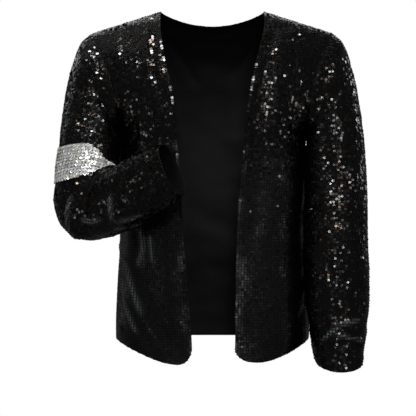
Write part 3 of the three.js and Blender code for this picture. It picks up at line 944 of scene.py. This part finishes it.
class Book:
    """A material's nodes, all added by one method."""

    def __init__(self, name: str) -> None:
        """Start a material with a Principled shader and its output."""
        self.material = bpy.data.materials.new(name)
        self.material.use_nodes = True
        self.tree = self.material.node_tree
        self.surface = self.tree.nodes["Principled BSDF"]

    def add(
        self, kind: str, settings: dict[str, Any], inputs: dict[Any, Any], output: Any = 0
    ) -> Shade:
        """Return one output of a new node.

        Args:
            kind: the node's type.
            settings: its properties, set first. A ramp's stops come as a list of pairs.
            inputs: values or shades by socket name or number.
            output: the output's name or number.

        Returns:
            The output as a shade.
        """
        node = self.tree.nodes.new(kind)
        for key, value in settings.items():
            if key == "stops":
                ramp = node.color_ramp
                while len(ramp.elements) < len(value):
                    ramp.elements.new(1.0)
                for element, (place, colour) in zip(ramp.elements, value):
                    element.position = place
                    element.color = (*colour, 1.0)
            else:
                setattr(node, key, value)
        self.feed(node, inputs)
        return Shade(self, node.outputs[output])

    def feed(self, node: bpy.types.Node, inputs: dict[Any, Any]) -> None:
        """Set or link the sockets of a node."""
        for key, value in inputs.items():
            if isinstance(value, Shade):
                value = value.value
            if isinstance(value, bpy.types.NodeSocket):
                self.tree.links.new(value, node.inputs[key])
            else:
                node.inputs[key].default_value = value

    def colour_mix(self, share: Any, first: Any, second: Any) -> Shade:
        """Return a mix of two colours."""
        node_inputs = {0: share, 6: first, 7: second}
        return self.add("ShaderNodeMix", {"data_type": "RGBA"}, node_inputs, 2)

    def attribute(self, name: str) -> Shade:
        """Return a number that the mesh carries at each vertex."""
        return self.add("ShaderNodeAttribute", {"attribute_name": name}, {}, "Fac")

    def finish(self, inputs: dict[str, Any]) -> bpy.types.Material:
        """Set the Principled shader's sockets and return the material."""
        self.feed(self.surface, inputs)
        return self.material


def grey(value: float) -> tuple[float, float, float, float]:
    """Return a neutral colour with full alpha."""
    return (value, value, value, 1.0)


@dataclass(frozen=True)
class SequinFilm:
    """Glossy sequins, each with its own tone, some dull; those on a crease get a painted sheen.

    Attributes:
        tints: the colours by tone.
        roughness: that of a fresh sequin of tone 0.
        toned: what a tone of 1 adds to it.
        metal: how metallic the film is.
        film: the tone above which a sequin has that film.
        index: the plastic's refractive index.
        creased: the roughness that a crease adds.
        dulled: the roughness of a dull sequin, over the fresh one's.
        painted_crease_sheen: the light grey painted sheen of a sequin on a crease ridge.
        dull: the grey of a dull sequin.
    """

    tints: tuple[tuple[float, Triple], ...]
    roughness: float
    toned: float
    metal: float
    film: float
    index: float
    creased: float = 0.25
    dulled: float = 0.16
    # Painted sheen: light grey on sequins along a crease ridge, where the fold would catch light.
    painted_crease_sheen: Triple = (0.15, 0.16, 0.17)
    dull: float = 0.002

    def material(self, name: str) -> bpy.types.Material:
        """Return the material: each sequin's own tone picks its tint, polish and film."""
        book = Book(name)
        tone, crease, dull = (book.attribute(title) for title in ("tone", "crease", "dull"))
        tint = book.add("ShaderNodeValToRGB", {"stops": self.tints}, {0: tone})
        plain = book.colour_mix(dull, tint, grey(self.dull))
        worn = self.toned * tone + self.creased * crease + self.dulled * dull
        return book.finish(
            {
                # A sequin on a crease ridge takes a light grey painted sheen in place of its
                # tint.
                "Base Color": book.colour_mix(crease, plain, (*self.painted_crease_sheen, 1.0)),
                "Roughness": self.roughness + worn,
                "Metallic": self.metal * tone.above(self.film) * (1 - crease) * (1 - dull),
                "IOR": self.index,
            }
        )


BLACK_FILM = SequinFilm(
    roughness=0.1, toned=0.14, metal=1.0, film=0.62, index=1.52,
    tints=(
        (0.0, (0.001, 0.0012, 0.0015)),
        (0.61, (0.002, 0.002, 0.002)),
        (0.63, (0.055, 0.04, 0.034)),
        (0.76, (0.05, 0.038, 0.026)),
        (0.84, (0.03, 0.029, 0.028)),
        (0.93, (0.1, 0.1, 0.1)),
        (1.0, (0.065, 0.07, 0.078)),
    ),
)
SILVER_FILM = SequinFilm(
    roughness=0.26, toned=0.12, metal=0.25, film=-1.0, index=2.1,
    tints=(
        (0.0, (0.6, 0.62, 0.6)),
        (0.25, (0.85, 0.86, 0.85)),
        (0.8, (0.95, 0.96, 0.96)),
        (0.86, (0.9, 0.72, 0.6)),
        (0.93, (0.86, 0.84, 0.76)),
        (1.0, (0.95, 0.95, 0.95)),
    ),
)


@dataclass(frozen=True)
class BackingCloth:
    """The knitted ground that the sequins are sewn to."""

    dark: Triple
    light: Triple
    gloss: float = 0.2
    roughness: float = 0.5
    worn: float = 0.2
    dye_scale: float = 40.0
    knit_scale: float = 900.0
    knit_height: float = 0.0006

    def material(self, name: str) -> bpy.types.Material:
        """Return the material: fine knit relief over a slightly uneven dye."""
        book = Book(name)
        place = book.add("ShaderNodeTexCoord", {}, {}, "Object")
        patches = {"Vector": place, "Scale": self.dye_scale, "Detail": 3.0}
        dye = book.add("ShaderNodeTexNoise", {}, patches)
        stitches = {"Vector": place, "Scale": self.knit_scale}
        knit = book.add("ShaderNodeTexVoronoi", {}, stitches, "Distance")
        bump = {"Strength": 0.5, "Distance": self.knit_height, "Height": knit}
        return book.finish(
            {
                "Base Color": book.colour_mix(dye, (*self.dark, 1.0), (*self.light, 1.0)),
                "Roughness": self.roughness + self.worn * knit,
                "Specular IOR Level": self.gloss,
                "Normal": book.add("ShaderNodeBump", {}, bump, "Normal"),
            }
        )


# The garment


@dataclass(frozen=True)
class Covering:
    """What a piece is made of: its ground's material, and its sequins."""

    ground: bpy.types.Material
    film: bpy.types.Material
    shape: SequinShape
    layout: SequinLayout


@dataclass(kw_only=True)
class Piece:
    """A piece of cloth with its sequins: what the fronts, the back, the sleeves and band share.

    Attributes:
        flat: the cut's width and length in metres.
        held: how the cloth is held; not used.
        rests_on: what it hangs from; not used.
        thickness: the shell's thickness in millimetres.
        columns: the cells of its grid across.
        rows: the cells along.
        level_share: the share of its length at which its rows of sequins run level with the
            grid. Without one they run level round the body.
        node: the CAD node that it stands for and hides, if its name is another.
    """

    name: str
    side: Side = Side.LEFT
    flat: Size
    held: str = "hung"
    rests_on: tuple[str, ...] = ("back",)
    thickness: float = 1.0
    columns: int
    rows: int
    level_share: float | None = None
    node: str = ""

    def cloth(self) -> Cloth:
        """Return the surface."""
        raise NotImplementedError

    def build(self, cover: Covering, seed: int) -> None:
        node = self.node or self.name
        cloth = self.cloth()
        cloth_piece = shell("cloth_" + self.name, cloth, self.thickness, self.side)
        if self.level_share is None:
            level = cloth.row_at(BODY_LEVEL)
        else:
            level = np.full(self.columns, self.level_share * self.rows)
        places = cover.layout.rows_of(cloth, level)
        sequins = cover.shape.sewn("sequins_" + self.name, places, seed)
        for piece, material in ((cloth_piece, cover.ground), (sequins, cover.film)):
            piece.data.materials.append(material)
            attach(piece, "root")
        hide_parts(node)
        area = cloth.area()
        min(area, self.flat[0] * self.flat[1])
        LOG.info("%s: %.4f m2, %d sequin faces", node, area, len(sequins.data.polygons))


@dataclass(kw_only=True)
class Front(Piece):
    """A front: front edge, rounded corner, hem, side seam, half an armhole and the shoulder."""

    body: BodyForm
    relief: Relief
    columns: int = 84
    rows: int = 150
    flat: Size = (0.215, 0.66)
    seam_reach: float = 0.15

    def cloth(self) -> Cloth:
        """Return the surface, mirrored for the right front."""
        cells, ends = self.body.shoulder_cells, self.body.panel_rows
        cell, row = np.meshgrid(
            np.linspace(0, cells, self.columns + 1), np.linspace(0, ends, self.rows + 1)
        )
        u, v = cell / cells, row / ends
        free = smooth((1 - u) / self.seam_reach) * smooth((1 - v) / self.seam_reach)
        return self.relief.raised(self.body.front(cell, row, self.side), u, v, free, self.side)


@dataclass(kw_only=True)
class Back(Piece):
    """The back, from side seam to side seam, with a shallow neck curve."""

    body: BodyForm
    relief: Relief
    columns: int = 168
    rows: int = 150
    flat: Size = (0.53, 0.62)
    rests_on: tuple[str, ...] = ("front_left", "front_right")
    side_reach: float = 0.08
    seam_reach: float = 0.15

    def cloth(self) -> Cloth:
        """Return the surface. Its columns run from the left side to the right."""
        half, ends = self.body.half_neck_cells + self.body.shoulder_cells, self.body.panel_rows
        cell, row = np.meshgrid(
            np.linspace(half, -half, self.columns + 1), np.linspace(0, ends, self.rows + 1)
        )
        u, v = (half - cell) / (2 * half), row / ends
        sides = smooth(u / self.side_reach) * smooth((1 - u) / self.side_reach)
        free = sides * smooth((1 - v) / self.seam_reach)
        return self.relief.raised(self.body.back(cell, row), u, v, free, self.side)


@dataclass(kw_only=True)
class Sleeve(Piece):
    """A set-in sleeve from the armhole to the cuff."""

    form: SleeveForm
    relief: Relief
    columns: int = 96
    rows: int = 190
    head_reach: float = 0.12
    cuff_reach: float = 0.05
    cuff_free: float = 0.2

    def free(self, v: Array) -> Array:
        """Return how far the cloth is free of the armhole and the hem of the cuff."""
        return smooth(v / self.head_reach) * smooth((1 - v) / self.cuff_reach + self.cuff_free)

    def cloth(self) -> Cloth:
        """Return the surface. Its columns start at the underarm."""
        turn, ring = np.meshgrid(
            np.pi + np.arange(self.columns) * 2 * np.pi / self.columns,
            np.linspace(0, self.form.last, self.rows + 1),
        )
        u, v = np.mod(turn / (2 * np.pi), 1.0), ring / self.form.last
        return self.relief.raised(self.form.point(turn, ring), u, v, self.free(v), self.side)


BAND_EDGES = Table(
    "angle top bottom",
    [
        (0, 6.13, 7.63),
        (40, 6.45, 8.22),
        (75, 6.4, 8.84),
        (100, 6.55, 9.35),
        (120, 7.25, 10),
        (150, 9.3, 10.9),
        (180, 9.9, 10.9),
        (220, 8.2, 9.8),
        (270, 6.6, 8.2),
        (320, 5.95, 7.5),
        (360, 6.13, 7.63),
    ],
)


@dataclass(kw_only=True)
class SleeveBand(Piece):
    """The silver band, a strip of the right sleeve's own surface moved out of its cloth."""

    sleeve: Sleeve
    side: Side = Side.RIGHT
    flat: Size = (0.37, 0.062)
    held: str = "stretched"
    rests_on: tuple[str, ...] = ("sleeve_right",)
    thickness: float = 0.8
    columns: int = 120
    rows: int = 24
    level_share: float | None = 0.5
    node: str = "sleeve_band"
    lift: float = 2.1
    step: float = 0.02

    def cloth(self) -> Cloth:
        """Return the band's surface: the sleeve's, moved along the cross product of its runs."""
        turn, across = np.meshgrid(
            np.arange(self.columns) * 2 * np.pi / self.columns, np.linspace(0, 1, self.rows + 1)
        )
        degrees = np.degrees(turn)
        ring = mix(BAND_EDGES("top", degrees), BAND_EDGES("bottom", degrees), across)
        form, step = self.sleeve.form, self.step
        round_run = form.point(turn + step, ring) - form.point(turn - step, ring)
        along_run = form.point(turn, ring + step) - form.point(turn, ring - step)
        v = ring / form.last
        fold = self.sleeve.relief.lift(turn / (2 * np.pi), v) * self.sleeve.free(v)
        out = unit(np.cross(round_run, along_run))
        points = form.point(turn, ring) + out * (fold + self.lift)[..., None]
        points[..., 0] *= self.side.value
        normals = Cloth.directions(points, True, self.side)
        return Cloth(points, normals, np.zeros(points.shape[:2]), True)


FRONT_RIGHT_FOLDS = folds(
    (0.9, 0.26, 0.64, 0.2, 3.6, 6, 1.3),
    (0.67, 0.21, 0.5, 0.1, 4, 6.5, 1.3),
    (0.79, 0.16, 0.64, 0.09, 3, 5.5, 1.3),
    (0.66, 0.1, 0.55, 0.05, 2.5, 5.5, 1.3),
    (0.5, 0.32, 0.49, 0.26, 2.6, 5.5, 1.3),
    (0.49, 0.27, 0.55, 0.22, 2.6, 5.5, 1.3),
    (0.41, 0.31, 0.4, 0.24, 2.4, 5.5, 1.3),
    (0.87, 0.06, 0.7, 0.035, 2.5, 6),
    (0.53, 0.095, 0.41, 0.05, 2, 6),
    (0.75, 0.19, 0.8, 0.08, -3, 12),
    (0.35, 0.84, 0.43, 0.7, 2.4, 8, 1.5),
    (0.72, 0.87, 0.9, 0.78, 2.2, 8, 1.5),
    (0.65, 0.64, 0.5, 0.52, 2.5, 9, 1.5),
    (0.8, 0.55, 0.3, 0.05, -4, 22),
)
FRONT_LEFT_FOLDS = folds(
    (0.5, 0.75, 0.55, 0.03, 3, 26),
    (0.86, 0.5, 0.72, 0.03, -4, 22),
    (0.25, 0.85, 0.25, 0.2, -3, 22),
    (0.72, 0.8, 0.84, 0.68, 2.6, 8, 1.5),
    (0.95, 0.56, 0.72, 0.43, -3, 8, 1.5),
    (0.9, 0.5, 0.75, 0.36, 2.5, 7, 1.4),
    (0.9, 0.17, 0.72, 0.12, 2.2, 6, 1.4),
    (0.88, 0.1, 0.66, 0.075, -2, 7, 1.4),
)
BACK_FOLDS = folds(
    (0.22, 0.7, 0.3, 0.02, 5, 26),
    (0.4, 0.75, 0.42, 0.02, -5, 26),
    (0.62, 0.72, 0.58, 0.02, 5, 24),
    (0.8, 0.7, 0.74, 0.02, -5, 26),
    (0.1, 0.62, 0.24, 0.5, 3.5, 9, 1.4),
    (0.08, 0.55, 0.2, 0.42, -3, 9, 1.4),
    (0.12, 0.3, 0.27, 0.2, 3, 7, 1.3),
    (0.15, 0.24, 0.24, 0.12, 2.6, 6.5, 1.3),
    (0.9, 0.6, 0.74, 0.46, 3.5, 9, 1.4),
    (0.93, 0.54, 0.8, 0.38, -3, 9, 1.4),
    (0.88, 0.22, 0.72, 0.15, 3, 7, 1.3),
    (0.86, 0.16, 0.76, 0.06, 2.5, 6.5, 1.3),
    (0.36, 0.84, 0.44, 0.72, 2.5, 9, 1.5),
    (0.63, 0.84, 0.55, 0.7, 2.5, 9, 1.5),
)
LEFT_SLEEVE_FOLDS = folds(
    (0.07, 0.16, 0.09, 0.48, 3, 14),
    (0.3, 0.2, 0.28, 0.53, -3.5, 12),
    (0.31, 0.54, 0.4, 0.57, -4, 7, 1.4),
    (0.24, 0.59, 0.37, 0.63, -3.5, 7, 1.4),
    (0.14, 0.5, 0.22, 0.6, 3, 8, 1.4),
    (0.28, 0.64, 0.22, 0.78, 3, 9, 1.4),
    (0.42, 0.66, 0.33, 0.72, 3, 7, 1.4),
    (0.36, 0.9, 0.25, 0.84, 3, 4.2, 1.3),
    (0.26, 0.84, 0.14, 0.823, 3, 4.2, 1.3),
    (0.28, 0.87, 0.1, 0.893, 2.4, 3.8, 1.3),
    (0.42, 0.83, 0.3, 0.82, -3, 6.5, 1.3),
    (0.38, 0.905, 0.3, 0.912, -2.5, 6, 1.3),
    (0.1, 0.84, 0.02, 0.85, -3, 7, 1.4),
    (0.55, 0.7, 0.95, 0.8, -4, 14),
    (0.6, 0.42, 0.92, 0.56, 4, 16),
    (0.66, 0.56, 0.82, 0.62, 3, 8, 1.4),
    (0.62, 0.86, 0.84, 0.83, 3.2, 7, 1.3),
    (0.58, 0.9, 0.8, 0.905, -2.8, 7, 1.3),
)
RIGHT_SLEEVE_FOLDS = folds(
    (0.1, 0.2, 0.14, 0.32, 3, 12),
    (0.3, 0.1, 0.36, 0.28, -3, 12),
    (0.21, 0.565, 0.14, 0.59, 3.6, 6, 1.3),
    (0.15, 0.59, 0.01, 0.615, 3.6, 6, 1.3),
    (0.14, 0.64, 0.15, 0.71, 3.2, 6, 1.3),
    (0.26, 0.76, 0.13, 0.745, 3, 6, 1.3),
    (0.13, 0.75, 0.1, 0.84, 3, 6, 1.3),
    (0.09, 0.73, 0.01, 0.81, 2.6, 6, 1.3),
    (0.04, 0.65, 0.36, 0.645, -3.5, 10),
    (0.36, 0.66, 0.4, 0.78, -3, 10),
    (0.44, 0.78, 0.43, 0.93, 2.5, 7, 1.4),
    (0.44, 0.935, 0.2, 0.925, -2.2, 5, 1.4),
    (0.62, 0.5, 0.96, 0.6, -4, 14),
    (0.68, 0.62, 0.84, 0.67, 3, 8, 1.4),
    (0.6, 0.2, 0.8, 0.33, 3.5, 12),
)


# The studio


@dataclass(frozen=True)
class Lamp:
    """A soft rectangular lamp that looks at a point of the jacket.

    Lengths are in metres and the power in watts. The spread is the angle of the beam in radians.
    """

    place: Triple
    aim: Triple
    size: Size
    power: float
    spread: float = np.pi

    def hang(self, name: str) -> None:
        """Add the lamp."""
        data = bpy.data.lights.new(name, "AREA")
        data.shape = "RECTANGLE"
        data.size, data.size_y = self.size
        data.energy = self.power
        data.spread = self.spread
        lamp = bpy.data.objects.new(name, data)
        lamp.location = self.place
        out = unit(np.array(self.place) - np.array(self.aim))
        heading = np.arctan2(out[1], out[0]) + RIGHT_ANGLE
        lamp.rotation_euler = (float(np.arccos(out[2])), 0.0, float(heading))
        bpy.context.scene.collection.objects.link(lamp)


# The place, the point aimed at, the size, the power and, where a grid narrows it, the spread
LAMPS = {
    "high_front": Lamp((0.096, -1.836, 1.243), (0, 0, -0.3), (0.29, 0.29), 6.9),
    "front": Lamp((0.194, -2.217, 0.599), (0, 0, -0.3), (0.25, 0.25), 6.4),
    "beside_camera": Lamp((0.147, -2.794, -0.4), (0, 0, -0.35), (0.17, 0.17), 3.2),
    "chest_left": Lamp((-2.16, -1.36, -0.55), (-0.15, -0.1, -0.17), (0.4, 0.4), 0.024, 0.3),
    "chest_right": Lamp((2.33, -1.02, -0.64), (0.16, -0.1, -0.18), (0.4, 0.4), 0.03, 0.3),
    "band": Lamp((-0.5, -0.78, 1.56), (-0.24, -0.08, -0.29), (0.8, 0.8), 0.8, 0.25),
    "overhead": Lamp((-0.5, 0.3, 1.6), (0, 0, -0.1), (2.4, 2.4), 3.4),
    "behind": Lamp((-0.4, 1.9, 1.0), (0, 0, -0.1), (3.0, 1.3), 13.0),
    "shoulder": Lamp((2.14, 0.7, 0.65), (0.23, -0.05, -0.12), (0.4, 0.4), 0.05, 0.3),
    "rear_right": Lamp((1.9, 1.1, 0.3), (0, 0, -0.1), (0.35, 1.0), 2.0),
    "rear_left": Lamp((-1.9, 1.1, 0.1), (0, 0, -0.2), (0.35, 1.4), 0.6),
}


@dataclass(frozen=True)
class Studio:
    """A plain pale studio with soft lamps, and the camera at the photograph's angle.

    Lengths are in metres. The backdrop is flat out to floor_radius and then bends up.
    """

    camera_place: Triple = (-0.0083, -2.6, -0.3626)
    lens: float = 121.6
    sky: float = 0.9
    sky_strength: float = 0.085
    floor: float = -1.5
    floor_radius: float = 7.0
    bend_radius: float = 3.0
    wall_top: float = 9.0
    bend_steps: int = 12
    sectors: int = 64

    def build(self) -> None:
        """Add the backdrop, the lamps, the world and the camera."""
        scene = bpy.context.scene
        scene.view_settings.view_transform = "Standard"
        scene.world = bpy.data.worlds.new("studio")
        scene.world.use_nodes = True
        background = scene.world.node_tree.nodes["Background"]
        background.inputs["Color"].default_value = grey(self.sky)
        background.inputs["Strength"].default_value = self.sky_strength
        self._cove()
        for name, lamp in LAMPS.items():
            lamp.hang(name)
        data = bpy.data.cameras.new("camera")
        data.lens = self.lens
        data.sensor_width = 36.0
        camera = bpy.data.objects.new("camera", data)
        camera.location = self.camera_place
        camera.rotation_euler = (RIGHT_ANGLE, 0.0, 0.0)
        scene.collection.objects.link(camera)
        scene.camera = camera

    def _cove(self) -> None:
        """Add a round pale floor that curves up into a wall, seen by the camera alone.

        It is a profile turned about the vertical: flat to a radius, a quarter circle, a wall.
        """
        bend = np.linspace(0, RIGHT_ANGLE, self.bend_steps + 1)
        out = self.floor_radius + self.bend_radius * np.sin(bend)
        up = self.floor + self.bend_radius * (1 - np.cos(bend))
        radius = np.concatenate([[0.01], out, out[-1:]])
        height = np.concatenate([[self.floor], up, [self.wall_top]])
        turn = np.arange(self.sectors) * 2 * np.pi / self.sectors
        ring = np.stack([np.cos(turn), np.sin(turn)], axis=-1)
        flat = radius[:, None, None] * ring[None]
        z = np.broadcast_to(height[:, None, None], (*flat.shape[:2], 1))
        points = np.concatenate([flat, z], axis=-1) / MM
        number = wrapped(np.arange(len(radius) * self.sectors).reshape(-1, self.sectors))
        cove = mesh_object("cove", points.reshape(-1, 3), grid_quads(number)[:, ::-1], True)
        glow = {"Emission Color": grey(1.0), "Emission Strength": 1.0}
        plain = {"Base Color": grey(0.0), "Roughness": 1.0, "Specular IOR Level": 0.0}
        cove.data.materials.append(Book("pale_cove").finish({**plain, **glow}))
        cove.visible_glossy = False
        cove.visible_diffuse = False
        cove.visible_shadow = False


def main() -> None:
    """Build the jacket over the frame and the studio round it."""
    logging.basicConfig(level=logging.INFO, format="%(message)s")
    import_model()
    Studio().build()
    dark = BackingCloth((0.002, 0.002, 0.0023), (0.004, 0.004, 0.0046)).material("black_ground")
    pale = BackingCloth((0.14, 0.145, 0.14), (0.24, 0.245, 0.24)).material("silver_ground")
    black_film = BLACK_FILM.material("black_sequins")
    silver_film = SILVER_FILM.material("silver_sequins")
    black = Covering(dark, black_film, BLACK_SEQUIN, BLACK_LAYOUT)
    calm = replace(black, shape=CALM_BLACK_SEQUIN)
    silver = Covering(pale, silver_film, SILVER_SEQUIN, SILVER_LAYOUT)
    body = BodyForm()
    right_relief = Relief(
        RIGHT_SLEEVE_FOLDS, seed=24, slope=0.06, size=(350.0, 560.0), closed=True
    )
    left_relief = replace(right_relief, folds=LEFT_SLEEVE_FOLDS, seed=25, size=(350.0, 600.0))
    right = Sleeve(
        name="sleeve_right", side=Side.RIGHT, flat=(0.4, 0.56), level_share=11 / 18, rows=216,
        form=SleeveForm(body, RIGHT_RINGS), relief=right_relief,
    )
    left = Sleeve(
        name="sleeve_left", flat=(0.4, 0.62), level_share=9 / 14,
        form=SleeveForm(body, LEFT_RINGS), relief=left_relief,
    )
    front_relief = Relief(FRONT_RIGHT_FOLDS, seed=21, slope=0.045, size=(190.0, 600.0))
    front_left_relief = replace(front_relief, folds=FRONT_LEFT_FOLDS, seed=22)
    back_relief = Relief(BACK_FOLDS, seed=23, slope=0.055, size=(420.0, 600.0))
    pieces = (
        (Front(name="front_right", side=Side.RIGHT, body=body, relief=front_relief), calm),
        (Front(name="front_left", body=body, relief=front_left_relief), calm),
        (Back(name="back", body=body, relief=back_relief), black),
        (right, black),
        (left, black),
        (SleeveBand(name="band", sleeve=right), silver),
    )
    for number, (piece, cover) in enumerate(pieces):
        piece.build(cover, FIRST_SEED + number)


if __name__ == "__main__":
    main()
